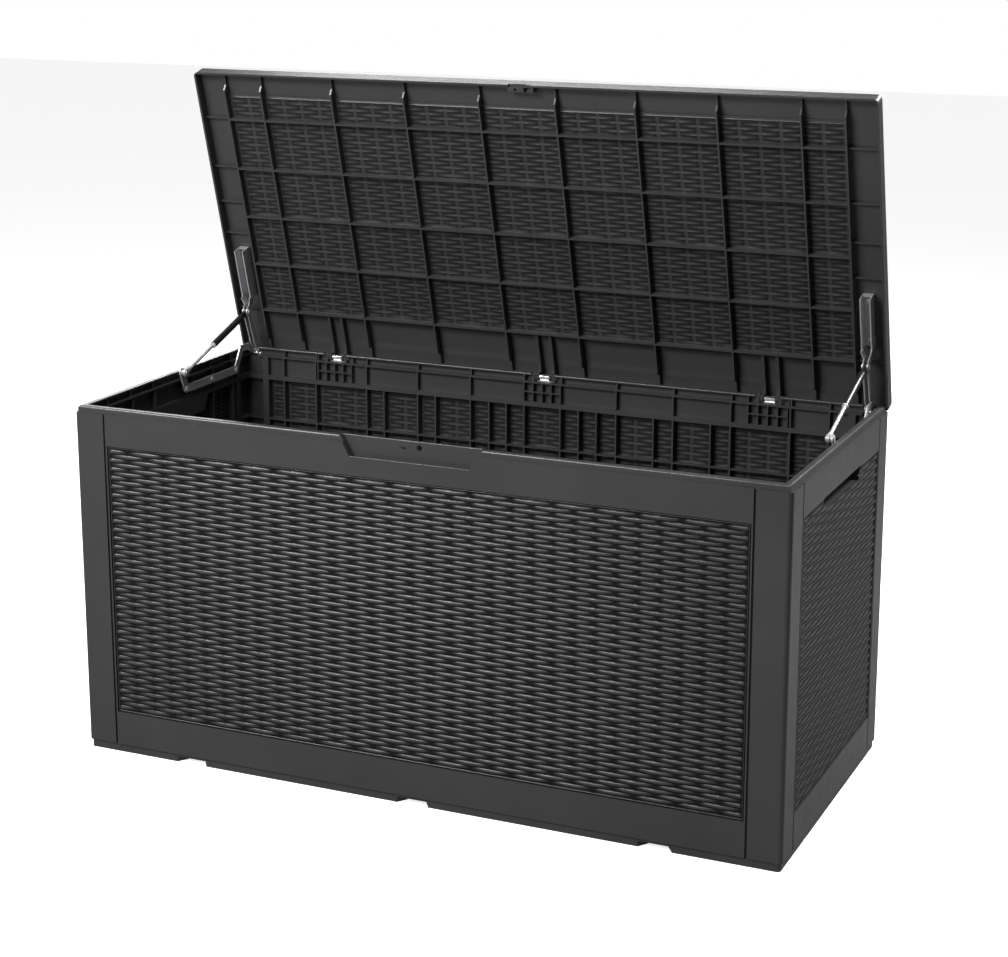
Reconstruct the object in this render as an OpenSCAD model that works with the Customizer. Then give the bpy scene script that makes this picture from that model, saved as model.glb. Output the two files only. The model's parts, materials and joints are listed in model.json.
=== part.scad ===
// Deck storage box: four moulded wicker-look walls on a base tray, and a ribbed lid
// on three pinned hinges, held open by a gas strut stay at each end.
// Millimetres. X runs along the box, -Y is the front, +Z is up.
// The origin is on the ground, under the middle of the box. The lid is drawn open.

/* [Box] */
// Length of the box over its walls
body_l = 1210; // [1100:10:1300]
// Depth of the box over its walls
body_d = 540; // [530:2:560]
// Height of the wall panels' outer faces above the ground
panel_top = 580; // [560:2:600]
// Height of the base tray's edge
base_h = 14; // [12:1:18]
// Radius of the box's upright corners
corner_r = 8; // [4:1:12]

/* [Walls] */
// Thickness of a wall with its ribs
wall_t = 20; // [18:1:20]
// Thickness of the outer skin
skin_t = 4; // [3:0.5:4.5]
// Depth of the sunk wicker field in a wall
field_sink = 3; // [2:0.5:3]
// Width of the plain frame beside the wicker field
frame_side = 60; // [58:1:66]
// Width of the plain frame above the wicker field
frame_top = 52; // [50:1:56]
// Width of the plain frame under the wicker field
frame_bottom = 57; // [40:1:60]
// Distance of the upright joint groove from the corner
groove_at = 54; // [50:0.5:54]
// Width of the upright joint groove
groove_w = 3.5; // [2:0.5:4]

/* [Rim] */
// Height of the lip that the lid closes over
lip_h = 10; // [8:1:12]
// Distance of the lip from the outer face
lip_inset = 4.3; // [4.2:0.1:5]
// Width of the lip
lip_w = 11.7; // [10:0.1:12]

/* [Lid] */
// Angle through which the lid opens
open_angle = 74.5; // [60:0.5:80]
// Height of the lid's edge
lid_t = 21.5; // [20:0.5:24]
// Gap between the wall panels and the closed lid's edge
lid_gap = 7; // [6.5:0.5:8]
// Thickness of the lid's edge wall
lid_edge_t = 3.5; // [3:0.1:3.5]
// Width of the plain frame at the ends of the lid's wicker field
lid_frame_x = 54; // [50:1:60]
// Width of the plain frame in front of the lid's wicker field
lid_frame_front = 46; // [40:1:50]
// Width of the plain frame behind the lid's wicker field
lid_frame_rear = 75; // [70:1:80]
// Thickness of the lid's ribs
lid_rib_t = 2.8; // [2:0.1:4]

/* [Hinges] */
// Distance of the outer hinges from the middle one
hinge_pitch = 406; // [380:2:420]
// Radius of a hinge pin
hinge_pin_r = 4; // [3:0.5:4]
// Radius of a hinge knuckle
knuckle_r = 7; // [6.5:0.1:7]

/* [Stays] */
// Radius of a gas strut's tube
tube_r = 6; // [5:0.5:6]
// Radius of a gas strut's rod
rod_r = 3; // [2.5:0.5:3.5]
// Distance of the stays' middle plane from the end of the box
stay_x = 31; // [31:0.5:33]

/* [Hidden] */

$fn = 48;
eps = 0.01;
left = -1;
right = 1;

// Colours
charcoal = [0.20, 0.20, 0.21];
charcoal_lid = [0.17, 0.17, 0.18];
strut_black = [0.05, 0.05, 0.05];
zinc = [0.66, 0.67, 0.68];
steel = [0.78, 0.79, 0.80];

// Main heights
lip_top = panel_top + lip_h;
ledge_z = panel_top - 4;
ledge_t = 2.5;
lip_round = 4;
lip_back = lip_inset + lip_w;
field_bottom = base_h + frame_bottom;
field_top = panel_top - frame_top;
mitre_gap = 0.15;

// Wall ribs: distances from the middle of a long wall
rib_t = 2.6;
band_rib_z = 532;
band_rib_h = 8;
band_back = 11;
long_ribs = [34, 137, 240, 342, 445, 511];
long_low_ribs = [68, 101, 205, 307];
short_ribs = [60, 128, 196];
cross_rib_z = [157, 257, 357, 457];

// Latch recess in the front wall
recess_half_top = 118;
recess_half_bottom = 102;
recess_h = 21;
recess_depth = 14;
recess_wall = 3.2;
recess_drop = 4;
padlock_x = 12;
padlock_z = 580;
padlock_r = 4.5;

// Handle slot in a side wall
handle_half_top = 106;
handle_half_bottom = 91;
handle_z0 = field_top - 20;
handle_z1 = field_top + 2;
handle_wall = 3;
handle_back = 2.5;

// Lid heights when the lid is closed
lid_z0 = panel_top + lid_gap;
lid_z1 = lid_z0 + lid_t;
lid_skin_z = lid_z1 - 3.5;
lid_rib_top = lid_skin_z + 0.4;
lid_field_z = lid_z1 - field_sink;
lid_field_under = lid_field_z - 3;
lid_rib_z = lid_z0 + 2.5;
lid_shallow_z = lid_z0 + 10;
lid_rear_z = lid_z0 + 5;
lid_corner_cut = 8;
lid_long_ribs = [68, 206, 343, 480, 551];
lid_cross_ribs = [-184, -92, 0, 92, 184];
lid_strip_ribs = [-184, -92, -25, 36, 184];

// Hinge axis, along X
axis_y = body_d / 2 - 7;
axis_z = panel_top + 3;
lug_in = 10;
lug_out = 15;
ear_in = 16.5;
ear_out = 21.5;
hinge_play = 0.05;
hinge_notch = 23;
hinge_pocket = 34;
grid_half = 34;
grid_t = 1.8;

// Stay layers: distances from the end of the box
box_plate_a0 = stay_x - 9;
box_plate_a1 = stay_x - 6.5;
arm_gap = 3;
arm_t = 2;
eye_t = 5;
channel_w = 18;
channel_t = 2;
channel_flap = 9;
rivet_r = 3;
rivet_play = 0.05;
stud_end_a = box_plate_a1 + 1.8;
rod_boss = stay_x - stud_end_a - 0.4;

// Stay points in the lid's closed position, from the hinge axis
strut_top_a = -82;
strut_top_b = -10.7;
channel_y0 = axis_y - 198;
channel_y1 = axis_y - 105;
channel_z0 = lid_z0 - 7.5;
channel_z1 = lid_skin_z - 1.5;
arm_y = axis_y - 93;
lid_screw_y = [channel_y0 + 13, channel_y1 - 13];

// Stay points on the box
ball_y = 19;
ball_z = lip_top - 1;
strap_z = 557;
strap_h = 14;
strap_screw_y = [33, 116, 199];
strut_closed_y = axis_y + strut_top_a;
strut_closed_z = axis_z + strut_top_b;
strut_y = axis_y + strut_top_a * cos(open_angle) + strut_top_b * sin(open_angle);
strut_z = axis_z - strut_top_a * sin(open_angle) + strut_top_b * cos(open_angle);
strut_len = norm([strut_y - ball_y, strut_z - ball_z]);
strut_tilt = atan2(strut_y - ball_y, ball_z - strut_z);
tube_start = 24;
tube_end = 124;
tube_bore_r = tube_r - 1.4;

// ---- helpers ----

// A box between two corners
module block(a, b) {
    translate(a) cube(b - a);
}

// A plate in the YZ plane, drawn as (y, z), between two distances from the right-hand end
module end_plate(a0, a1) {
    translate([body_l / 2 - a1, 0, 0])
        rotate([90, 0, 90])
            linear_extrude(height = a1 - a0) children();
}

// A pin along X at (y, z), between two distances from the right-hand end
module end_pin(a0, a1, y, z, r) {
    translate([body_l / 2 - a1, y, z])
        rotate([0, 90, 0]) cylinder(r = r, h = a1 - a0);
}

// A flat strip along a line of points, with a slightly wider round at each point
module strip(points, w) {
    for (p = points) translate(p) circle(r = w / 2 + 0.3);
    for (i = [0 : len(points) - 2])
        let (run = points[i + 1] - points[i])
            translate(points[i]) rotate(atan2(run[1], run[0]))
                translate([0, -w / 2]) square([norm(run), w]);
}

// Puts a right-hand piece at either end of the box
module at_end(side) {
    if (side == left) mirror([1, 0, 0]) children();
    else children();
}

// Turns a piece drawn in the lid's closed position to the open one
module opened() {
    translate([0, axis_y, axis_z])
        rotate([-open_angle, 0, 0])
            translate([0, -axis_y, -axis_z]) children();
}

// The strut's own frame at the right-hand end: Z runs from its top pin to the ball stud
module strut_frame() {
    translate([body_l / 2 - stay_x, strut_y, strut_z])
        rotate([strut_tilt, 0, 0]) children();
}

// A trapezoid in the XZ plane, cut to a depth from the outer face of a wall
module face_trapezoid(half_low, half_high, z0, z1, y0, y1) {
    translate([0, y1, 0])
        rotate([90, 0, 0])
            linear_extrude(height = y1 - y0)
                polygon([[-half_low, z0], [half_low, z0], [half_high, z1], [-half_high, z1]]);
}

// ---- walls: x along the wall, y inwards from the outer face ----

module wall_plan(l) {
    half = l / 2 - mitre_gap;
    difference() {
        polygon([[-half, 0], [half, 0], [half - wall_t, wall_t], [wall_t - half, wall_t]]);
        for (s = [-1, 1])
            translate([s * l / 2, 0]) difference() {
                square(2 * corner_r, center = true);
                translate([-s * corner_r, corner_r]) circle(r = corner_r);
                translate([-s * corner_r - corner_r, corner_r]) square(2 * corner_r);
            }
    }
}

module wall_skin(l) {
    half_field = l / 2 - frame_side;
    block([-l / 2, 0, base_h], [l / 2, skin_t, panel_top]);
    block([-half_field - 3, field_sink, field_bottom - 3],
          [half_field + 3, field_sink + 3, field_top + 3]);
    for (s = [-1, 1])
        block([s * (l / 2 - groove_at - groove_w / 2) - 6, 0, base_h],
              [s * (l / 2 - groove_at - groove_w / 2) + 6, wall_t, ledge_z]);
}

// Upright outer edge and top plate of the lip, drawn as (y, z)
module lip_profile() {
    flange = 3.2;
    difference() {
        translate([lip_inset, ledge_z - 1]) square([lip_w, lip_top - ledge_z + 1]);
        translate([lip_inset + flange, ledge_z - 2])
            square([lip_w, lip_top - flange - ledge_z + 2]);
        translate([lip_inset, lip_top]) corner_round(lip_round, 1);
        translate([lip_back, lip_top]) corner_round(lip_round / 2, -1);
    }
}

// What rounding takes off a top corner of a profile, with the solid towards +Y (1) or -Y (-1)
module corner_round(r, side) {
    difference() {
        square(2 * r, center = true);
        translate([side * r, -r]) circle(r = r);
    }
}

module along_wall(x0, x1) {
    translate([x0, 0, 0]) rotate([90, 0, 90]) linear_extrude(height = x1 - x0) children();
}

module wall_rim(l) {
    block([-l / 2, 0, ledge_z - ledge_t], [l / 2, wall_t, ledge_z]);
    along_wall(-l / 2, l / 2) lip_profile();
    along_wall(-l / 2, l / 2) difference() {
        translate([0, ledge_z - 1]) square([lip_inset + 1, panel_top - ledge_z + 1]);
        translate([0, panel_top]) corner_round(1, 1);
    }
}

module wall_ribs(l, ribs, low_ribs) {
    half = l / 2;
    block([-half, skin_t - 1, band_rib_z], [half, wall_t, band_rib_z + band_rib_h]);
    block([-half, skin_t - 1, band_rib_z + 1], [half, band_back, ledge_z - 1]);
    block([-half, skin_t - 1, base_h], [half, wall_t, base_h + 4]);
    for (z = cross_rib_z)
        block([-half, skin_t - 1, z], [half, wall_t, z + rib_t]);
    for (x = ribs, s = [-1, 1]) {
        block([s * x - rib_t / 2, skin_t - 1, base_h], [s * x + rib_t / 2, wall_t, ledge_z - 1]);
        block([s * x - rib_t / 2, lip_inset + 1, ledge_z - 1],
              [s * x + rib_t / 2, lip_back - 0.4, lip_top - 1.5]);
    }
    for (x = low_ribs, s = [-1, 1])
        block([s * x - rib_t / 2, skin_t - 1, base_h],
              [s * x + rib_t / 2, wall_t, band_rib_z + 1]);
}

module wall_cuts(l) {
    half_field = l / 2 - frame_side;
    block([-half_field, -1, field_bottom], [half_field, field_sink, field_top]);
    for (s = [-1, 1])
        block([s * (l / 2 - groove_at - groove_w / 2) - groove_w / 2, -1, base_h - 1],
              [s * (l / 2 - groove_at - groove_w / 2) + groove_w / 2, skin_t, lip_top + 1]);
}

module plain_wall(l, ribs, low_ribs) {
    intersection() {
        linear_extrude(height = lip_top) wall_plan(l);
        difference() {
            union() {
                wall_skin(l);
                wall_rim(l);
                wall_ribs(l, ribs, low_ribs);
            }
            wall_cuts(l);
        }
    }
}

// ---- pieces of the box ----

module base_tray() {
    half_l = body_l / 2 - 3;
    half_d = body_d / 2 - 3;
    rail = 25;
    plate_t = 5;
    notch_h = 9;
    foot_ribs = [-5 : 5];
    foot_pitch = 100;
    foot_rows = [-124, 0, 124];
    color(charcoal) difference() {
        union() {
            difference() {
                linear_extrude(height = base_h) rounded_plan(2 * half_l, 2 * half_d, 6);
                block([rail - half_l, rail - half_d, -1],
                      [half_l - rail, half_d - rail, base_h - plate_t]);
            }
            for (i = foot_ribs)
                block([i * foot_pitch - 2, -half_d + 1, 0], [i * foot_pitch + 2, half_d - 1, base_h - 1]);
            for (y = foot_rows)
                block([-half_l + 1, y - 2, 0], [half_l - 1, y + 2, base_h - 1]);
        }
        for (x = [-hinge_pitch, 0, hinge_pitch], s = [-1, 1])
            translate([x, s * half_d, -1])
                linear_extrude(height = notch_h + 1)
                    polygon([[-28, s], [28, s], [16, -s * 17], [16, -s * (rail + 1)],
                             [-16, -s * (rail + 1)], [-16, -s * 17]]);
    }
}

module rounded_plan(l, d, r) {
    square([l - 2 * r, d], center = true);
    square([l, d - 2 * r], center = true);
    for (x = [-1, 1], y = [-1, 1])
        translate([x * (l / 2 - r), y * (d / 2 - r)]) circle(r = r);
}

// Trapezoid of the latch recess, wider by a margin
module recess_shape(margin, y0, y1, z1) {
    z0 = panel_top - recess_h;
    slope = (recess_half_top - recess_half_bottom) / (lip_top - z0);
    low = recess_half_bottom + margin * (1 - slope);
    face_trapezoid(low, low + slope * (z1 - z0 + margin), z0 - margin, z1, y0, y1);
}

module front_panel() {
    z0 = panel_top - recess_h;
    outer = recess_half_bottom + recess_wall;
    color(charcoal) translate([0, -body_d / 2, 0]) difference() {
        union() {
            plain_wall(body_l, long_ribs, long_low_ribs);
            recess_shape(recess_wall, skin_t - 1, recess_depth + recess_wall, panel_top - 1);
            recess_shape(recess_wall, lip_inset + 0.2, recess_depth + recess_wall, lip_top);
            block([-outer, skin_t - 1, z0 - recess_drop - recess_wall],
                  [outer, recess_depth + recess_wall, z0]);
        }
        recess_shape(0, -1, recess_depth, lip_top + 1);
        block([-recess_half_bottom, skin_t - 1, z0 - recess_drop],
              [recess_half_bottom, recess_depth, z0 + 1]);
        along_wall(-recess_half_bottom, recess_half_bottom)
            translate([0, z0]) corner_round(1, 1);
        along_wall(-recess_half_top, recess_half_top)
            translate([recess_depth, lip_top]) corner_round(1.6, 1);
        translate([padlock_x, 0, padlock_z])
            rotate([-90, 0, 0]) cylinder(r = padlock_r, h = wall_t + 1);
        translate([0, wall_t + 1, 0])
            rotate([90, 0, 0]) linear_extrude(height = wall_t + 1)
                polygon([[-20, padlock_z - 1], [-8, padlock_z - 1],
                         [-11, padlock_z - 4.5], [-16, padlock_z - 4.5]]);
    }
}

// Hinge ears, grid block and stay slots are part of the back wall
module back_panel() {
    slot_x0 = body_l / 2 - stay_x - 8.5;
    slot_x1 = body_l / 2 - stay_x + 10.5;
    color(charcoal) translate([0, body_d / 2, 0]) rotate(180) {
        difference() {
            union() {
                difference() {
                    plain_wall(body_l, long_ribs, long_low_ribs);
                    for (x = [-hinge_pitch, 0, hinge_pitch])
                        translate([x, 0, 0]) hinge_grid_hollow();
                }
                for (x = [-hinge_pitch, 0, hinge_pitch]) translate([x, 0, 0]) hinge_grid();
            }
            for (x = [-hinge_pitch, 0, hinge_pitch]) translate([x, 0, 0]) hinge_cuts();
            for (s = [-1, 1]) mirror([s == 1 ? 0 : 1, 0, 0]) {
                block([slot_x0, skin_t - eps, ledge_z - ledge_t - 1],
                      [slot_x1, wall_t + 2, lip_top + 1]);
                block([slot_x0, -1, panel_top - 4.5], [slot_x1, wall_t, lip_top + 1]);
            }
        }
        for (x = [-hinge_pitch, 0, hinge_pitch]) translate([x, 0, 0]) {
            hinge_ears();
            hinge_bridge();
        }
    }
}

module hinge_grid() {
    pitch = 2 * grid_half / 4;
    low = band_rib_z + band_rib_h - 1;
    middle = (low + ledge_z) / 2;
    for (i = [0 : 4])
        block([i * pitch - grid_half - grid_t / 2, skin_t - 1, low],
              [i * pitch - grid_half + grid_t / 2, wall_t, ledge_z - 1]);
    block([-grid_half, skin_t - 1, middle - grid_t / 2],
          [grid_half, wall_t, middle + grid_t / 2]);
    for (s = [-1, 1])
        block([s > 0 ? hinge_pocket : -hinge_pocket - 2, lip_inset + 1, ledge_z - 1],
              [s > 0 ? hinge_pocket + 2 : -hinge_pocket, lip_back - 0.4, lip_top - 1.5]);
}

module hinge_grid_hollow() {
    block([-grid_half, band_back - 1, band_rib_z + band_rib_h],
          [grid_half, wall_t + 1, ledge_z - ledge_t]);
}

module hinge_cuts() {
    block([-hinge_notch, -1, ledge_z - 0.5], [hinge_notch, lip_back - 1.8, lip_top + 1]);
    block([-hinge_pocket, lip_inset + 2, ledge_z], [hinge_pocket, wall_t + 1, lip_top - 5.5]);
    block([-hinge_notch, -1, lip_top - 4], [hinge_notch, wall_t + 1, lip_top + 1]);
}

// Thin bar that carries the line of the lip across a hinge
module hinge_bridge() {
    block([-hinge_pocket - 1, lip_back - 1.7, lip_top - 3.2],
          [hinge_pocket + 1, lip_back - 0.1, lip_top - 1.6]);
}

module hinge_ears() {
    for (s = [-1, 1])
        translate([s == 1 ? ear_in : -ear_out, 0, 0])
            difference() {
                union() {
                    translate([0, 7, axis_z]) rotate([0, 90, 0])
                        cylinder(r = knuckle_r, h = ear_out - ear_in);
                    block([0, 0.5, ledge_z - 2], [ear_out - ear_in, 13.5, axis_z]);
                }
                translate([-1, 7, axis_z]) rotate([0, 90, 0])
                    cylinder(r = hinge_pin_r + hinge_play, h = ear_out - ear_in + 2);
            }
}

module hinge_pin(x) {
    color(steel) translate([x - ear_out - 1, axis_y, axis_z])
        rotate([0, 90, 0]) cylinder(r = hinge_pin_r, h = 2 * ear_out + 2);
}

module side_panel(side) {
    color(charcoal) at_end(side)
        translate([body_l / 2, 0, 0]) rotate(90) difference() {
            union() {
                plain_wall(body_d, short_ribs, []);
                face_trapezoid(handle_half_bottom + handle_wall, handle_half_top + handle_wall,
                               handle_z0 - handle_wall, handle_z1 + handle_wall,
                               field_sink, wall_t);
                for (y = strap_screw_y)
                    translate([y, skin_t - 1, strap_z]) rotate([-90, 0, 0])
                        cylinder(r = 6, h = box_plate_a0 - skin_t + 1);
            }
            face_trapezoid(handle_half_bottom, handle_half_top,
                           handle_z0, handle_z1, -1, wall_t - handle_back);
            for (y = strap_screw_y)
                translate([y, box_plate_a0 - 11, strap_z]) rotate([-90, 0, 0])
                    cylinder(r = 2.2, h = 12);
        }
}

// ---- stay pieces that are fixed to the box ----

module box_bracket(side) {
    color(zinc) at_end(side) difference() {
        end_plate(box_plate_a0, box_plate_a1) {
            strip([[ball_y, ball_z], [strap_screw_y[0], strap_z], [strap_screw_y[2], strap_z]],
                  strap_h);
            strip([[strap_screw_y[2], strap_z], [221, lip_top + 2], [246, lip_top + 2],
                   [axis_y, axis_z]], 12);
        }
        for (y = strap_screw_y)
            end_pin(box_plate_a0 - 1, box_plate_a1 + 1, y, strap_z, 2.5);
        end_pin(box_plate_a0 - 1, box_plate_a1 + 1, axis_y, axis_z, rivet_r + rivet_play);
        end_pin(box_plate_a0 - 1, box_plate_a1 + 1, ball_y, ball_z, 3);
    }
}

module ball_stud(side) {
    color(steel) at_end(side) {
        end_pin(box_plate_a0 - 1.2, box_plate_a0 - 0.02, ball_y, ball_z, 5);
        end_pin(box_plate_a0 - 0.5, box_plate_a1 + 0.5, ball_y, ball_z, 2.95);
        end_pin(box_plate_a1 + 0.02, stud_end_a, ball_y, ball_z, 4.5);
    }
}

module pivot_rivet(side) {
    inner = stay_x + arm_gap + arm_t;
    color(steel) at_end(side) {
        end_pin(box_plate_a0 - 1.4, box_plate_a0 - 0.1, axis_y, axis_z, 5);
        end_pin(box_plate_a0 - 1, inner + 1, axis_y, axis_z, rivet_r);
        end_pin(inner + 0.3, inner + 1.8, axis_y, axis_z, 5);
    }
}

module box_bracket_screws(side) {
    color(steel) at_end(side)
        for (y = strap_screw_y) {
            end_pin(box_plate_a0 - 9, box_plate_a1 + 1, y, strap_z, 2.1);
            end_pin(box_plate_a1 + 0.02, box_plate_a1 + 2, y, strap_z, 4.5);
        }
}

// ---- lid ----

module lid_rib_profile() {
    y1 = body_d / 2 - 1;
    polygon([[-y1, lid_rib_top], [-y1, lid_shallow_z], [-246, lid_shallow_z],
             [-238, lid_rib_z], [238, lid_rib_z], [246, lid_shallow_z],
             [y1, lid_shallow_z], [y1, lid_rib_top]]);
}

module lid_shell() {
    half_l = body_l / 2;
    half_d = body_d / 2;
    inner_l = half_l - lid_edge_t;
    inner_d = half_d - lid_edge_t;
    difference() {
        translate([0, 0, lid_z0])
            linear_extrude(height = lid_t) rounded_plan(body_l, body_d, corner_r);
        block([-inner_l, -inner_d, lid_z0 - 1], [inner_l, inner_d, lid_skin_z]);
        block([lid_frame_x - half_l, lid_frame_front - half_d, lid_field_z],
              [half_l - lid_frame_x, half_d - lid_frame_rear, lid_z1 + 1]);
        block([-half_l - 1, inner_d - 1, lid_z0 - 1], [half_l + 1, half_d + 1, lid_rear_z]);
        for (s = [-1, 1])
            translate([s * half_l, half_d, lid_z0]) rotate([45, 0, 0])
                cube([4 * lid_edge_t, lid_corner_cut, lid_corner_cut], center = true);
    }
    block([lid_frame_x - half_l - 3, lid_frame_front - half_d - 3, lid_field_under],
          [half_l - lid_frame_x + 3, half_d - lid_frame_rear + 3, lid_field_z]);
}

module lid_ribs() {
    inner_l = body_l / 2 - 1;
    outer = lid_long_ribs[len(lid_long_ribs) - 1];
    for (x = lid_long_ribs, s = [-1, 1])
        translate([s * x - lid_rib_t / 2, 0, 0])
            rotate([90, 0, 90]) linear_extrude(height = lid_rib_t) lid_rib_profile();
    for (y = lid_cross_ribs)
        block([-outer, y - lid_rib_t / 2, lid_rib_z], [outer, y + lid_rib_t / 2, lid_rib_top]);
    for (y = lid_strip_ribs, s = [-1, 1])
        block([s > 0 ? outer : -inner_l, y - lid_rib_t / 2, lid_shallow_z],
              [s > 0 ? inner_l : -outer, y + lid_rib_t / 2, lid_rib_top]);
}

// Lug drawn as (y, z) from the hinge axis
module lid_lug_profile() {
    top = lid_rib_top - axis_z;
    shoulder = lid_rear_z - axis_z;
    circle(r = knuckle_r);
    polygon([[-6, 0], [3, 0], [3, shoulder], [6, shoulder], [6, top],
             [184 - axis_y, top], [184 - axis_y, shoulder + 2], [-18, shoulder + 2],
             [-6, shoulder]]);
}

module lid_lugs() {
    for (x = [-hinge_pitch, 0, hinge_pitch], s = [-1, 1])
        translate([x + (s == 1 ? lug_in : -lug_out), axis_y, axis_z])
            rotate([90, 0, 90]) linear_extrude(height = lug_out - lug_in) lid_lug_profile();
}

// Block behind the front edge that the padlock recess closes on
module lid_latch_block() {
    block([-12, 2 - body_d / 2, lid_z0 + 2], [34, 13 - body_d / 2, lid_rib_top]);
}

module lid_pads() {
    for (s = [-1, 1], y = lid_screw_y)
        translate([s * (body_l / 2 - stay_x), y, channel_z1])
            cylinder(r = 7, h = lid_rib_top - channel_z1);
}

module lid_cuts() {
    half_d = body_d / 2;
    for (x = [-hinge_pitch, 0, hinge_pitch], s = [-1, 1])
        translate([x + (s == 1 ? lug_in : -lug_out) - 1, axis_y, axis_z])
            rotate([0, 90, 0])
                cylinder(r = hinge_pin_r + hinge_play, h = lug_out - lug_in + 2);
    block([-10, -half_d - 1, lid_z0 - 1], [24, 1 - half_d + lid_edge_t, lid_z0 + 5]);
    translate([2, 9 - half_d, lid_z0]) cylinder(r = 2.5, h = 12);
    translate([0, -half_d, lid_z0]) linear_extrude(height = 12)
        polygon([[17, 5], [29, 5], [19, 14], [17, 14]]);
    for (s = [-1, 1], y = lid_screw_y)
        translate([s * (body_l / 2 - stay_x), y, channel_z1 - 1]) cylinder(r = 2.2, h = 4.4);
}

module lid_panel() {
    color(charcoal_lid) opened() difference() {
        union() {
            lid_shell();
            lid_ribs();
            lid_lugs();
            lid_latch_block();
            lid_pads();
        }
        lid_cuts();
    }
}

// ---- stay pieces that are fixed to the lid, in the closed position ----

module lid_arm_profile() {
    strip([[axis_y, axis_z], [axis_y - 22, axis_z - 5.5], [strut_closed_y, strut_closed_z]], 11);
    translate([strut_closed_y, strut_closed_z]) circle(r = 8);
    translate([arm_y, channel_z0 - 8]) square([strut_closed_y - arm_y, 18]);
}

// Half of the bracket's waist, where a side of the channel bends in to an arm
module waist(s) {
    half = channel_w / 2;
    inner = half - channel_t;
    linear_extrude(height = 13)
        polygon([[s * half, channel_y1 - 3], [s * half, channel_y1],
                 [s * (arm_gap + arm_t), arm_y], [s * (arm_gap + arm_t), arm_y + 4],
                 [s * arm_gap, arm_y + 4], [s * arm_gap, arm_y],
                 [s * inner, channel_y1], [s * inner, channel_y1 - 3]]);
}

module lid_bracket(side) {
    x0 = body_l / 2 - stay_x;
    half = channel_w / 2;
    color(zinc) at_end(side) opened() difference() {
        union() {
            block([x0 - half, channel_y0, channel_z1 - channel_t],
                  [x0 + half, channel_y1, channel_z1]);
            for (s = [-1, 1]) {
                translate([x0 + s * (half - channel_t / 2), 0, 0])
                    block([-channel_t / 2, channel_y0, channel_z0],
                          [channel_t / 2, channel_y1, channel_z1]);
                translate([x0, 0, channel_z0 - 4]) waist(s);
            }
            block([x0 - half, channel_y0, channel_z1 - channel_flap],
                  [x0 + half, channel_y0 + channel_t, channel_z1]);
            end_plate(stay_x - arm_gap - arm_t, stay_x - arm_gap) lid_arm_profile();
            end_plate(stay_x + arm_gap, stay_x + arm_gap + arm_t) lid_arm_profile();
        }
        end_pin(stay_x - 6, stay_x + 6, axis_y, axis_z, rivet_r + rivet_play);
        end_pin(stay_x - 6, stay_x + 6, strut_closed_y, strut_closed_z, rivet_r + rivet_play);
        for (y = lid_screw_y)
            translate([x0, y, channel_z1 - 5]) cylinder(r = 2.5, h = 8);
    }
}

module strut_pin(side) {
    inner = arm_gap + arm_t;
    color(steel) at_end(side) opened() {
        end_pin(stay_x - inner - 1, stay_x + inner + 1, strut_closed_y, strut_closed_z, rivet_r);
        for (s = [-1, 1])
            end_pin(stay_x + s * (inner + 0.9) - 0.7, stay_x + s * (inner + 0.9) + 0.7,
                    strut_closed_y, strut_closed_z, 4.6);
    }
}

module lid_bracket_screws(side) {
    color(steel) at_end(side) opened()
        for (y = lid_screw_y)
            translate([body_l / 2 - stay_x, y, channel_z1 - channel_t]) {
                cylinder(r = 2.1, h = channel_t + 3);
                translate([0, 0, -2.02]) cylinder(r = 4.5, h = 2);
                translate([0, 0, -0.1]) cylinder(r = 2.1, h = 1);
            }
}

// ---- gas struts, in the strut's own frame ----

module cross_eye(z) {
    translate([-eye_t / 2, 0, z]) rotate([0, 90, 0]) cylinder(r = 6.5, h = eye_t);
}

module strut_tube(side) {
    color(strut_black) at_end(side) strut_frame() difference() {
        union() {
            cross_eye(0);
            block([-eye_t / 2, -4.5, 0], [eye_t / 2, 4.5, tube_start + 1]);
            translate([0, 0, tube_start]) cylinder(r = tube_r, h = tube_end - tube_start);
        }
        translate([-eye_t, 0, 0]) rotate([0, 90, 0])
            cylinder(r = rivet_r + rivet_play, h = 2 * eye_t);
        translate([0, 0, tube_start + 4]) cylinder(r = tube_bore_r, h = tube_end);
    }
}

module strut_guide(side) {
    color(steel) at_end(side) strut_frame()
        translate([0, 0, tube_end]) difference() {
            union() {
                translate([0, 0, -6]) cylinder(r = tube_bore_r - 0.02, h = 7);
                translate([0, 0, 0.02]) cylinder(r = tube_r - 0.6, h = 2.5);
            }
            translate([0, 0, -7]) cylinder(r = rod_r + 0.06, h = 12);
        }
}

rod_inner = tube_end - 12;
rod_outer = strut_len - 14;

module strut_rod(side) {
    color(steel) at_end(side) strut_frame()
        translate([0, 0, rod_inner]) cylinder(r = rod_r, h = rod_outer - rod_inner);
}

module strut_piston(side) {
    color(steel) at_end(side) strut_frame()
        translate([0, 0, rod_inner - 5.02]) cylinder(r = tube_bore_r - 0.06, h = 5);
}

module rod_end(side) {
    color(zinc) at_end(side) strut_frame() {
        cross_eye(strut_len);
        block([-eye_t / 2, -3.8, rod_outer + 4], [eye_t / 2, 3.8, strut_len]);
        translate([0, 0, rod_outer + 0.02]) cylinder(r = 4, h = 7);
        translate([-rod_boss, 0, strut_len]) rotate([0, 90, 0])
            cylinder(r = 4.2, h = 2 * rod_boss);
    }
}

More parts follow.
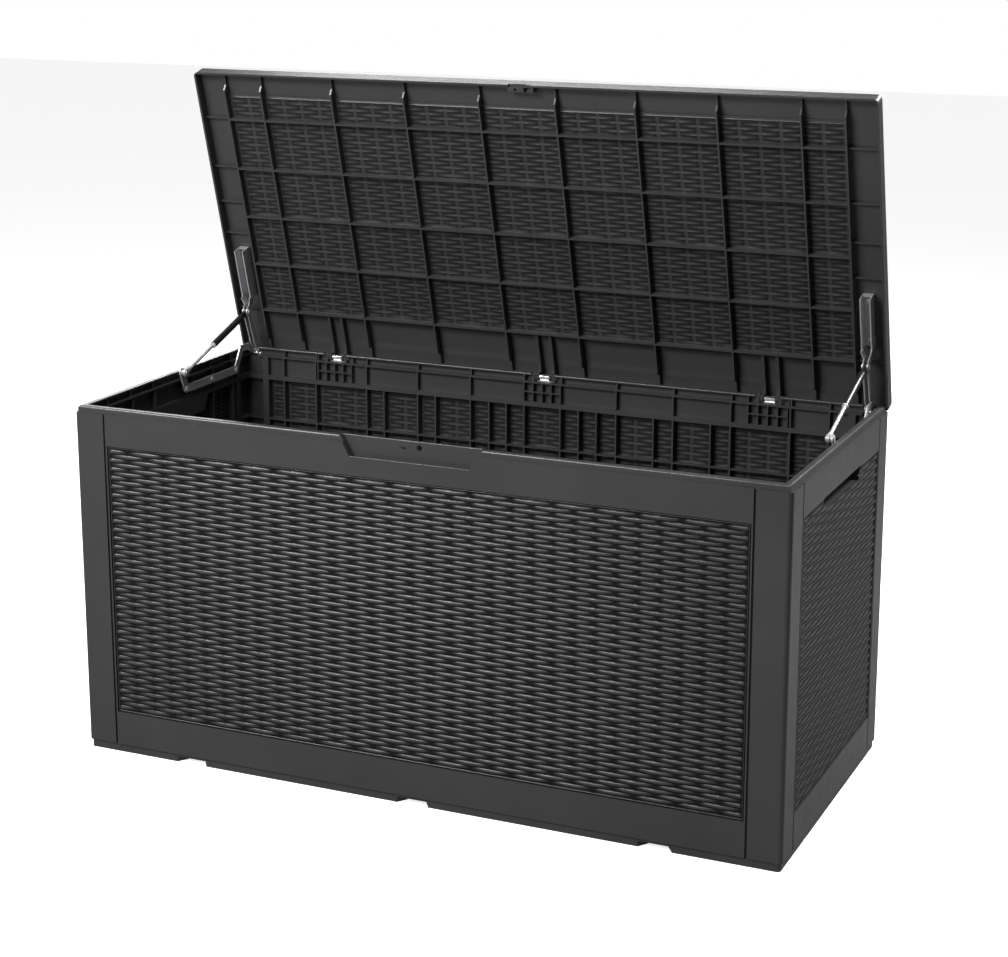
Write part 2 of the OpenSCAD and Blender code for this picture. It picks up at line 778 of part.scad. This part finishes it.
base_tray();
front_panel();
back_panel();
side_panel(left);  // left_side_panel
side_panel(right);  // right_side_panel
hinge_pin(-hinge_pitch);  // hinge_pin_left
hinge_pin(0);  // hinge_pin_middle
hinge_pin(hinge_pitch);  // hinge_pin_right
box_bracket(left);  // left_box_bracket
box_bracket(right);  // right_box_bracket
ball_stud(left);  // left_ball_stud
ball_stud(right);  // right_ball_stud
pivot_rivet(left);  // left_pivot_rivet
pivot_rivet(right);  // right_pivot_rivet
box_bracket_screws(left);  // left_box_bracket_screws
box_bracket_screws(right);  // right_box_bracket_screws
lid_panel();
lid_bracket(left);  // left_lid_bracket
lid_bracket(right);  // right_lid_bracket
strut_pin(left);  // left_strut_pin
strut_pin(right);  // right_strut_pin
lid_bracket_screws(left);  // left_lid_bracket_screws
lid_bracket_screws(right);  // right_lid_bracket_screws
strut_tube(left);  // left_strut_tube
strut_tube(right);  // right_strut_tube
strut_guide(left);  // left_strut_guide
strut_guide(right);  // right_strut_guide
strut_rod(left);  // left_strut_rod
strut_rod(right);  // right_strut_rod
strut_piston(left);  // left_strut_piston
strut_piston(right);  // right_strut_piston
rod_end(left);  // left_rod_end
rod_end(right);  // right_rod_end
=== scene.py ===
"""Looks of the deck storage box: moulded wicker panels, plastics, metals, light and camera.

Metres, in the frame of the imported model: X along the box, -Y the front, +Z up, the lid open.
"""

import json
import math

import bpy
import numpy as np
from mathutils import Matrix, Vector


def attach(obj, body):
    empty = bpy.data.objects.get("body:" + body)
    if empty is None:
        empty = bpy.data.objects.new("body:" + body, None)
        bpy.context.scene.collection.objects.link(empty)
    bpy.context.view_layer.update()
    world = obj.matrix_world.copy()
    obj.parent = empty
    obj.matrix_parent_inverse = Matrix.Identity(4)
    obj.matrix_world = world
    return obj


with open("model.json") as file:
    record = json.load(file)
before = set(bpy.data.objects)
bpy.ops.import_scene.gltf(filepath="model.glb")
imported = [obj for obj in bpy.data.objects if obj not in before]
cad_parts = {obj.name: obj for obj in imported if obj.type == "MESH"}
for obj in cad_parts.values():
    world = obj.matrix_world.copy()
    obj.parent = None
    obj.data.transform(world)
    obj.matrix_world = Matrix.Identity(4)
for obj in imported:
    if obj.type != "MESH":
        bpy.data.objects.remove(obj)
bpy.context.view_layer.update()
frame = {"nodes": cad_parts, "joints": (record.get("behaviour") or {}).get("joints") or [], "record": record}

MM = 0.001

# The sunk wicker fields of the walls and of the lid, as in the CAD model
WALL_FRAME_SIDE = 60 * MM
WALL_FIELD_TOP = 528 * MM
WALL_FIELD_BOTTOM = 71 * MM
WALL_FIELD_SINK = 3 * MM
WALL_FIELD_BACK = 6 * MM
LID_FRAME_X = 54 * MM
LID_FRAME_FRONT = 46 * MM
LID_FRAME_REAR = 75 * MM
LID_FIELD_SINK = 3 * MM
LID_FIELD_BACK = 6 * MM
LID_HEIGHT = 21.5 * MM
LID_GAP = 7 * MM
PANEL_TOP = 580 * MM
BOX_DEPTH = 540 * MM
BOX_LENGTH = 1210 * MM

# Hand slots in the end panels
SLOT_BOTTOM = 508 * MM
SLOT_HALF_BOTTOM = 91 * MM
SLOT_HALF_TOP = 106 * MM
SLOT_TOP = 530 * MM
SLOT_RIM = 3 * MM

# The weave: strands run along a panel, over one stake and under the next, in turn from row
# to row. Heights are shares of the relief, widths are shares of a column or of half a row
LONG_COLUMNS = 32
SHORT_COLUMNS = 12
WALL_ROWS = 61
LID_ROWS = 56
STAKE_HALF = 0.095
STRAND_DIP = 0.12
STRAND_TAPER = 0.25
LOWEST = 0.04
# Where the mesh has a line within a column and within a row
COLUMN_STEPS = (0.0, 0.08, 0.11, 0.3, 0.5, 0.7, 0.89, 0.92)
ROW_STEPS = (0.0, 0.14, 0.4, 0.65, 0.78, 0.9)
OUTER_RELIEF = 2.75 * MM
INNER_RELIEF = 1.6 * MM
EMBED = 0.3 * MM

# The plain border round a field: distance from the edge, and height as a share of the relief
BORDER = 5 * MM
BORDER_PROFILE = ((0.0, 0.05), (1.2, 0.05), (1.8, 0.6), (2.4, 0.75), (3.2, 0.6), (3.8, 0.05))

# How high a point of the weave stands, kept on the mesh as a share of the relief. This height paints shade
# into the weave's colour: gaps lie below GAP_TOP and are painted darker, down to GAP_PAINTED_SHADE, as
# painted shade between the strands;
# strands above STRAND_FOOT have the full colour. On the inside of a panel the lowest point counts as
# INNER_PAINTED_SHADE_LIFT, so the painted shade there is lighter
PAINTED_SHADE_LIFT = "painted_shade_lift"
GAP_PAINTED_SHADE = 0.2
GAP_TOP = 0.3
STRAND_FOOT = 0.9
INNER_PAINTED_SHADE_LIFT = 0.4

# Charcoal plastic: shade, and roughness of the walls and of the lid
CHARCOAL = 0.035
WALL_ROUGHNESS = 0.31
LID_ROUGHNESS = 0.33

# The white room, against the backdrop's 1: what it gives the box, and what the camera sees
FILL_LIGHT = 0.2
FLOOR_BOUNCE = 0.15
FLOOR_GLOW = 0.06
FLOOR_SEEN = 0.8
FLOOR_SEEN_GLOW = 0.75
FLOOR_REACH = 12.0
FLOOR_DROP = 0.5 * MM

# Camera: angles in degrees, lens in millimetres on a 36 mm sensor, shift in frame widths
CAMERA_AZIMUTH = 23.95
CAMERA_ELEVATION = 13.21
CAMERA_TARGET = (0.0395, 0.0, 0.6064)
CAMERA_DISTANCE = 3.5424
CAMERA_LENS = 78.25
CAMERA_SHIFT = -0.08


# ---- materials ----


def new_material(name):
    material = bpy.data.materials.new(name)
    material.use_nodes = True
    return material, material.node_tree, material.node_tree.nodes["Principled BSDF"]


def add_noise(tree, scale, detail, source):
    noise = tree.nodes.new("ShaderNodeTexNoise")
    noise.inputs["Scale"].default_value = scale
    noise.inputs["Detail"].default_value = detail
    tree.links.new(source, noise.inputs["Vector"])
    return noise


def add_ramp(tree, factor, low, high, start=0.3, end=0.7):
    ramp = tree.nodes.new("ShaderNodeValToRGB")
    ramp.color_ramp.elements[0].position = start
    ramp.color_ramp.elements[1].position = end
    ramp.color_ramp.elements[0].color = low
    ramp.color_ramp.elements[1].color = high
    tree.links.new(factor, ramp.inputs["Fac"])
    return ramp


def grey(value):
    return (value, value, value * 1.02, 1.0)


def moulded_plastic(name, shade, roughness):
    """Charcoal plastic: slightly uneven colour and sheen, and a fine moulded grain."""
    material, tree, shader = new_material(name)
    place = tree.nodes.new("ShaderNodeTexCoord").outputs["Object"]
    cloud = add_noise(tree, 9.0, 4.0, place)
    colour = add_ramp(tree, cloud.outputs["Fac"], grey(shade * 0.93), grey(shade * 1.07))
    tree.links.new(colour.outputs["Color"], shader.inputs["Base Color"])
    sheen = add_noise(tree, 35.0, 3.0, place)
    rough = add_ramp(tree, sheen.outputs["Fac"], grey(roughness - 0.03), grey(roughness + 0.03))
    tree.links.new(rough.outputs["Color"], shader.inputs["Roughness"])
    grain = add_noise(tree, 900.0, 2.0, place)
    bump = tree.nodes.new("ShaderNodeBump")
    bump.inputs["Strength"].default_value = 0.25
    bump.inputs["Distance"].default_value = 0.0003
    tree.links.new(grain.outputs["Fac"], bump.inputs["Height"])
    tree.links.new(bump.outputs["Normal"], shader.inputs["Normal"])
    return material


def woven_plastic_with_painted_shade(name, shade, roughness):
    """The same plastic for a weave, with painted shade in the gaps between the strands: darker colour and a
    duller reflection there.
    """
    material = moulded_plastic(name, shade, roughness)
    tree = material.node_tree
    shader = tree.nodes["Principled BSDF"]
    painted_shade_lift = tree.nodes.new("ShaderNodeAttribute")
    painted_shade_lift.attribute_name = PAINTED_SHADE_LIFT
    # Painted shade: the colour is made darker where a point lies low between the strands
    painted_gap_shade = add_ramp(tree, painted_shade_lift.outputs["Fac"], grey(GAP_PAINTED_SHADE), grey(1.0), GAP_TOP, STRAND_FOOT)
    shade_painted_colour = tree.nodes.new("ShaderNodeVectorMath")
    shade_painted_colour.operation = "MULTIPLY"
    colour = shader.inputs["Base Color"].links[0].from_socket
    tree.links.new(colour, shade_painted_colour.inputs[0])
    tree.links.new(painted_gap_shade.outputs["Color"], shade_painted_colour.inputs[1])
    tree.links.new(shade_painted_colour.outputs["Vector"], shader.inputs["Base Color"])
    # Painted shade on the reflection: the specular level drops in the gaps as well
    painted_shade_gloss = tree.nodes.new("ShaderNodeMath")
    painted_shade_gloss.operation = "MULTIPLY"
    painted_shade_gloss.inputs[1].default_value = 0.5
    tree.links.new(painted_gap_shade.outputs["Color"], painted_shade_gloss.inputs[0])
    tree.links.new(painted_shade_gloss.outputs["Value"], shader.inputs["Specular IOR Level"])
    return material


def plated_metal(name, shade, roughness, metallic):
    """Bright metal with faint rolling marks and blotches."""
    material, tree, shader = new_material(name)
    shader.inputs["Metallic"].default_value = metallic
    place = tree.nodes.new("ShaderNodeTexCoord").outputs["Object"]
    blotch = add_noise(tree, 120.0, 5.0, place)
    colour = add_ramp(tree, blotch.outputs["Fac"], grey(shade * 0.82), grey(shade * 1.1))
    tree.links.new(colour.outputs["Color"], shader.inputs["Base Color"])
    rough = add_ramp(tree, blotch.outputs["Fac"], grey(roughness - 0.06), grey(roughness + 0.08))
    tree.links.new(rough.outputs["Color"], shader.inputs["Roughness"])
    scratch = add_noise(tree, 1500.0, 2.0, place)
    bump = tree.nodes.new("ShaderNodeBump")
    bump.inputs["Strength"].default_value = 0.15
    bump.inputs["Distance"].default_value = 0.0001
    tree.links.new(scratch.outputs["Fac"], bump.inputs["Height"])
    tree.links.new(bump.outputs["Normal"], shader.inputs["Normal"])
    return material


def black_paint(name):
    material, tree, shader = new_material(name)
    place = tree.nodes.new("ShaderNodeTexCoord").outputs["Object"]
    specks = add_noise(tree, 600.0, 3.0, place)
    colour = add_ramp(tree, specks.outputs["Fac"], grey(0.008), grey(0.014))
    tree.links.new(colour.outputs["Color"], shader.inputs["Base Color"])
    rough = add_ramp(tree, specks.outputs["Fac"], grey(0.28), grey(0.36))
    tree.links.new(rough.outputs["Color"], shader.inputs["Roughness"])
    return material


def paint_cad_nodes(looks):
    """Gives every CAD node the material of its slot in the record."""
    for subpart in frame["record"]["subparts"]:
        mesh = frame["nodes"][subpart["node"]].data
        mesh.materials.clear()
        mesh.materials.append(looks[subpart["material_slot"]])


# ---- moulded wicker ----


def grid_lines(cells, steps, length):
    """Positions along one side of a field: its borders, and between them the steps of each cell."""
    fractions = [cell + step for cell in range(cells) for step in steps]
    weave = BORDER + np.array(fractions + [cells]) * ((length - 2 * BORDER) / cells)
    border = np.array([distance for distance, height in BORDER_PROFILE]) * MM
    return np.concatenate([border, weave, (length - border)[::-1]])


def border_height(x, y, width, height):
    """Height of the border's bead, as a share of the relief, and which points it covers."""
    rim = np.minimum(np.minimum(x, width - x), np.minimum(y, height - y))
    distance, share = np.array(BORDER_PROFILE).T
    return np.interp(rim, distance * MM, share), rim < BORDER * 0.99


def weave_height(column, row, rows, relief, inside):
    """Height of the moulded weave at points given in columns and rows, which may be fractions.

    The strands are shorter and slimmer on the inside, where the skin has smoothed them.
    """
    swell = 1.5 if inside else 0.6
    slimness = 0.72 if inside else 0.9
    stake_share = 0.6 if inside else 0.3
    row_index = np.clip(np.floor(row), 0, rows - 1)
    across = 2.0 * (row - row_index) - 1.0
    phase = row_index % 2
    centre = 2.0 * np.round((column - phase) / 2.0) + phase
    along = column - centre
    rise = STRAND_DIP + (1.0 - STRAND_DIP) * np.abs(np.cos(0.5 * math.pi * along)) ** swell
    half_width = slimness - STRAND_TAPER * along**2
    curve = np.clip(1.0 - (across / half_width) ** 2, 0.0, 1.0) ** 0.5
    strand = rise * curve
    to_stake = np.abs(column - np.round(column))
    stake = np.where(to_stake < STAKE_HALF, stake_share, 0.0)
    return relief * np.clip(np.maximum(strand, stake), LOWEST, 1.0)


def snap_to_slot(x, y, slot):
    """Moves the grid onto the edges of a hand slot, and says which points lie inside it."""
    bottom, half_bottom, half_top, top = slot
    middle = x[0].mean()
    lowest = int(np.argmin(np.abs(y[:, 0] - bottom)))
    y[lowest] = bottom
    inside = np.zeros(x.shape, bool)
    for j in range(lowest, len(y)):
        share = (y[j, 0] - bottom) / (top - bottom)
        half = half_bottom + (half_top - half_bottom) * share
        first = int(np.argmin(np.abs(x[j] - (middle - half))))
        last = int(np.argmin(np.abs(x[j] - (middle + half))))
        x[j, first] = middle - half
        x[j, last] = middle + half
        inside[j, first : last + 1] = True
    return inside, lowest


def cell_mask(shape, inside, lowest):
    """Which cells of the grid are kept: all but those with four corners in the slot."""
    keep = np.ones((shape[0] - 1, shape[1] - 1), bool)
    if inside is not None:
        full = inside[:-1, :-1] & inside[1:, :-1] & inside[:-1, 1:] & inside[1:, 1:]
        keep[full] = False
        keep[:lowest] = True
    return keep


def boundary_loops(faces):
    """Outline of a patch of quads, as directed edges in the faces' own order."""
    edges = {}
    for face in faces:
        for a, b in zip(face, face[1:] + face[:1]):
            if (b, a) in edges:
                del edges[(b, a)]
            else:
                edges[(a, b)] = True
    return list(edges)


def chain(edges):
    """The points of one closed outline, in order."""
    following = dict(edges)
    start = edges[0][0]
    loop = [start]
    point = following[start]
    while point != start:
        loop.append(point)
        point = following[point]
    return loop


def wicker_panel(name, width, height, columns, rows, place, body, look, slot=None, inside=False):
    """A closed slab of moulded weave. Its own X runs along it, Y up it and Z out of it.

    The inside of a wall is the back of the same skin, so its weave is sunk instead of raised.
    """
    relief = INNER_RELIEF if inside else OUTER_RELIEF
    xs = grid_lines(columns, COLUMN_STEPS, width)
    ys = grid_lines(rows, ROW_STEPS, height)
    x, y = np.meshgrid(xs, ys)
    in_slot, lowest = (None, 0) if slot is None else snap_to_slot(x, y, slot)
    column = (x - BORDER) / (width - 2 * BORDER) * columns
    row = (y - BORDER) / (height - 2 * BORDER) * rows
    z = weave_height(column, row, rows, relief, inside)
    bead, in_border = border_height(x, y, width, height)
    # Height share kept on the mesh for the material's painted shade in the gaps; the border's bead counts by
    # its own height
    painted_shade_lift = np.where(in_border, bead, z / relief)
    if inside:
        z = relief * (1.0 + LOWEST) - z
        painted_shade_lift = INNER_PAINTED_SHADE_LIFT + (1.0 - INNER_PAINTED_SHADE_LIFT) * painted_shade_lift
    z = np.where(in_border, relief * bead, z)
    keep = cell_mask(x.shape, in_slot, lowest)
    points = np.stack([x - width / 2, y, z], axis=-1).reshape(-1, 3)
    stride = x.shape[1]
    cells = np.argwhere(keep)
    first = cells[:, 0] * stride + cells[:, 1]
    quads = np.stack([first, first + 1, first + stride + 1, first + stride], axis=1)
    faces = quads.tolist()
    outline = chain(boundary_loops(faces))
    below = {}
    vertices = points.tolist()
    painted_shade_lifts = painted_shade_lift.reshape(-1).tolist() + [0.0] * len(outline)
    for point in outline:
        below[point] = len(vertices)
        vertices.append([points[point][0], points[point][1], -EMBED])
    for a, b in zip(outline, outline[1:] + outline[:1]):
        faces.append([b, a, below[a], below[b]])
    faces.append([below[point] for point in reversed(outline)])
    mesh = bpy.data.meshes.new(name)
    used = sorted(set(index for face in faces for index in face))
    new_index = {old: new for new, old in enumerate(used)}
    mesh.from_pydata(
        [vertices[old] for old in used], [], [[new_index[i] for i in face] for face in faces]
    )
    # The height share that the weave material turns into painted shade
    raised = mesh.attributes.new(PAINTED_SHADE_LIFT, "FLOAT", "POINT")
    raised.data.foreach_set("value", [painted_shade_lifts[old] for old in used])
    smooth = [True] * len(quads) + [False] * (len(faces) - len(quads))
    mesh.polygons.foreach_set("use_smooth", smooth)
    mesh.transform(place)
    mesh.materials.append(look)
    mesh.update()
    panel = bpy.data.objects.new(name, mesh)
    bpy.context.scene.collection.objects.link(panel)
    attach(panel, body)


def placed(origin, along, up):
    """Matrix that puts a panel's own X, Y and outward Z along these directions."""
    along, up = Vector(along), Vector(up)
    out = along.cross(up)
    matrix = Matrix((along, up, out)).transposed().to_4x4()
    matrix.translation = Vector(origin)
    return matrix


def wall_wicker(look):
    """The weave on both faces of the four walls."""
    field_w = BOX_LENGTH - 2 * WALL_FRAME_SIDE
    field_h = WALL_FIELD_TOP - WALL_FIELD_BOTTOM
    end_w = BOX_DEPTH - 2 * WALL_FRAME_SIDE
    half_l = BOX_LENGTH / 2
    half_d = BOX_DEPTH / 2
    z0 = WALL_FIELD_BOTTOM
    slot = (SLOT_BOTTOM - z0, SLOT_HALF_BOTTOM, SLOT_HALF_TOP, SLOT_TOP - z0)
    wide_slot = (
        SLOT_BOTTOM - SLOT_RIM - z0,
        SLOT_HALF_BOTTOM + SLOT_RIM / 2,
        SLOT_HALF_TOP + SLOT_RIM,
        SLOT_TOP - z0,
    )
    up = (0, 0, 1)
    sides = [
        ("front", field_w, LONG_COLUMNS, (0, -half_d, z0), (1, 0, 0), None),
        ("back", field_w, LONG_COLUMNS, (0, half_d, z0), (-1, 0, 0), None),
        ("right", end_w, SHORT_COLUMNS, (half_l, 0, z0), (0, 1, 0), True),
        ("left", end_w, SHORT_COLUMNS, (-half_l, 0, z0), (0, -1, 0), True),
    ]
    for name, width, columns, face, along, has_slot in sides:
        outward = Vector(along).cross(Vector(up))
        outer = Vector(face) - outward * WALL_FIELD_SINK
        inner = Vector(face) - outward * WALL_FIELD_BACK
        wicker_panel(
            f"{name}_wicker", width, field_h, columns, WALL_ROWS,
            placed(outer, along, up), "box", look, slot if has_slot else None,
        )
        wicker_panel(
            f"{name}_wicker_inside", width, field_h, columns, WALL_ROWS,
            placed(inner, -Vector(along), up), "box", look,
            wide_slot if has_slot else None, inside=True,
        )


def lid_wicker(look):
    """The weave on the lid's top and underside, built closed and turned with the lid."""
    hinge = next(joint for joint in frame["joints"] if joint["name"] == "lid_hinge")
    axis_point = Vector(hinge["pos_m"])
    swing = (
        Matrix.Translation(axis_point)
        @ Matrix.Rotation(-math.radians(hinge["range_deg"][1]), 4, "X")
        @ Matrix.Translation(-axis_point)
    )
    width = BOX_LENGTH - 2 * LID_FRAME_X
    height = BOX_DEPTH - LID_FRAME_FRONT - LID_FRAME_REAR
    top_z = PANEL_TOP + LID_GAP + LID_HEIGHT
    y0 = LID_FRAME_FRONT - BOX_DEPTH / 2
    outer = placed((0, y0, top_z - LID_FIELD_SINK), (1, 0, 0), (0, 1, 0))
    inner = placed((0, y0, top_z - LID_FIELD_BACK), (-1, 0, 0), (0, 1, 0))
    wicker_panel(
        "lid_wicker", width, height, LONG_COLUMNS, LID_ROWS, swing @ outer, "lid", look
    )
    wicker_panel(
        "lid_wicker_underside", width, height, LONG_COLUMNS, LID_ROWS,
        swing @ inner, "lid", look, inside=True,
    )


# ---- studio ----


def add_area_light(name, place, target, size_x, size_y, watts, sheen=True, shade=True):
    """A soft box aimed at a target. It may leave out reflections, or give nothing else."""
    light = bpy.data.lights.new(name, "AREA")
    light.shape = "RECTANGLE"
    light.size = size_x
    light.size_y = size_y
    light.energy = watts
    lamp = bpy.data.objects.new(name, light)
    lamp.location = place
    lamp.visible_camera = False
    lamp.visible_glossy = sheen
    lamp.visible_diffuse = shade
    lamp.rotation_euler = (Vector(target) - Vector(place)).to_track_quat("-Z", "Y").to_euler()
    bpy.context.scene.collection.objects.link(lamp)


def for_camera_only(tree, seen, unseen):
    """Mixes two shaders: what the camera sees directly, and what lights the object."""
    path = tree.nodes.new("ShaderNodeLightPath")
    mix = tree.nodes.new("ShaderNodeMixShader")
    tree.links.new(path.outputs["Is Camera Ray"], mix.inputs["Fac"])
    tree.links.new(unseen, mix.inputs[1])
    tree.links.new(seen, mix.inputs[2])
    return mix.outputs["Shader"]


def add_studio():
    """A white room with soft boxes round the box, and two that only reflect.

    The glint draws the thin bright lines along the strands, and the horizon stands for the
    bright backdrop that the rim reflects.
    """
    world = bpy.data.worlds.new("studio")
    world.use_nodes = True
    tree = world.node_tree
    backdrop = tree.nodes["Background"]
    backdrop.inputs["Color"].default_value = (1.0, 1.0, 1.0, 1.0)
    backdrop.inputs["Strength"].default_value = 1.0
    fill = tree.nodes.new("ShaderNodeBackground")
    fill.inputs["Color"].default_value = (1.0, 1.0, 1.0, 1.0)
    fill.inputs["Strength"].default_value = FILL_LIGHT
    shown = for_camera_only(tree, backdrop.outputs["Background"], fill.outputs["Background"])
    tree.links.new(shown, tree.nodes["World Output"].inputs["Surface"])
    bpy.context.scene.world = world
    bpy.context.scene.view_settings.view_transform = "Standard"
    add_area_light("key", (-0.9, -2.1, 2.2), (0, 0, 0.6), 1.6, 0.6, 84, sheen=False)
    add_area_light("low_key", (-0.8, -2.3, 1.25), (0, 0, 0.7), 1.2, 0.4, 32, sheen=False)
    add_area_light("side", (1.6, 1.5, 2.4), (0.6, 0, 0.3), 0.8, 0.5, 135)
    add_area_light("glint", (-1.5, -1.8, 2.7), (0, -0.27, 0.4), 2.2, 0.2, 125, shade=False)
    add_area_light("horizon", (-2.2, 3.6, 1.4), (0, 0, 0.6), 3.0, 1.4, 35, shade=False)
    add_area_light("inner_fill", (0.0, -0.2, 2.4), (0, 0, 0), 0.5, 1.2, 16, sheen=False)
    add_area_light("back", (-1.5, 3.2, 2.2), (0, 0, 0.6), 1.6, 1.0, 60)


def add_floor():
    """A plain pale floor, as white as the backdrop but for the object's soft shadow."""
    far = FLOOR_REACH
    mesh = bpy.data.meshes.new("floor")
    mesh.from_pydata(
        [(-far, -far, 0), (far, -far, 0), (far, far, 0), (-far, far, 0)],
        [],
        [(0, 1, 2, 3)],
    )
    material, tree, shader = new_material("pale_floor")
    shader.inputs["Base Color"].default_value = (FLOOR_SEEN, FLOOR_SEEN, FLOOR_SEEN, 1.0)
    shader.inputs["Roughness"].default_value = 0.9
    bounce = tree.nodes.new("ShaderNodeBsdfDiffuse")
    bounce.inputs["Color"].default_value = (FLOOR_BOUNCE, FLOOR_BOUNCE, FLOOR_BOUNCE, 1.0)
    glow = tree.nodes.new("ShaderNodeEmission")
    glow.inputs["Strength"].default_value = FLOOR_SEEN_GLOW
    lit = tree.nodes.new("ShaderNodeAddShader")
    tree.links.new(shader.outputs["BSDF"], lit.inputs[0])
    tree.links.new(glow.outputs["Emission"], lit.inputs[1])
    dim_glow = tree.nodes.new("ShaderNodeEmission")
    dim_glow.inputs["Strength"].default_value = FLOOR_GLOW
    around = tree.nodes.new("ShaderNodeAddShader")
    tree.links.new(bounce.outputs["BSDF"], around.inputs[0])
    tree.links.new(dim_glow.outputs["Emission"], around.inputs[1])
    shown = for_camera_only(tree, lit.outputs["Shader"], around.outputs["Shader"])
    tree.links.new(shown, tree.nodes["Material Output"].inputs["Surface"])
    mesh.materials.append(material)
    floor = bpy.data.objects.new("floor", mesh)
    floor.location.z = -FLOOR_DROP
    bpy.context.scene.collection.objects.link(floor)


def add_camera():
    """A long lens from the front right, a little above the box."""
    azimuth = math.radians(CAMERA_AZIMUTH)
    elevation = math.radians(CAMERA_ELEVATION)
    level = math.cos(elevation)
    aim = Vector((math.sin(azimuth) * level, -math.cos(azimuth) * level, math.sin(elevation)))
    camera = bpy.data.cameras.new("camera")
    camera.sensor_width = 36.0
    camera.lens = CAMERA_LENS
    camera.shift_y = CAMERA_SHIFT
    view = bpy.data.objects.new("camera", camera)
    view.location = Vector(CAMERA_TARGET) + aim * CAMERA_DISTANCE
    view.rotation_euler = (-aim).to_track_quat("-Z", "Y").to_euler()
    bpy.context.scene.collection.objects.link(view)
    bpy.context.scene.camera = view


wall_plastic = moulded_plastic("wall_plastic", CHARCOAL, WALL_ROUGHNESS)
lid_plastic = moulded_plastic("lid_plastic", CHARCOAL, LID_ROUGHNESS)
paint_cad_nodes(
    {
        "wall_plastic": wall_plastic,
        "lid_plastic": lid_plastic,
        "tube_paint": black_paint("tube_paint"),
        "zinc_steel": plated_metal("zinc_steel", 0.5, 0.45, 0.6),
        "bright_steel": plated_metal("bright_steel", 0.75, 0.25, 0.6),
    }
)
# The weave's material, with shade painted into the gaps between the strands
wall_wicker(woven_plastic_with_painted_shade("wall_weave_painted_shade", CHARCOAL, WALL_ROUGHNESS))
lid_wicker(woven_plastic_with_painted_shade("lid_weave_painted_shade", CHARCOAL, LID_ROUGHNESS))
add_studio()
add_floor()
add_camera()
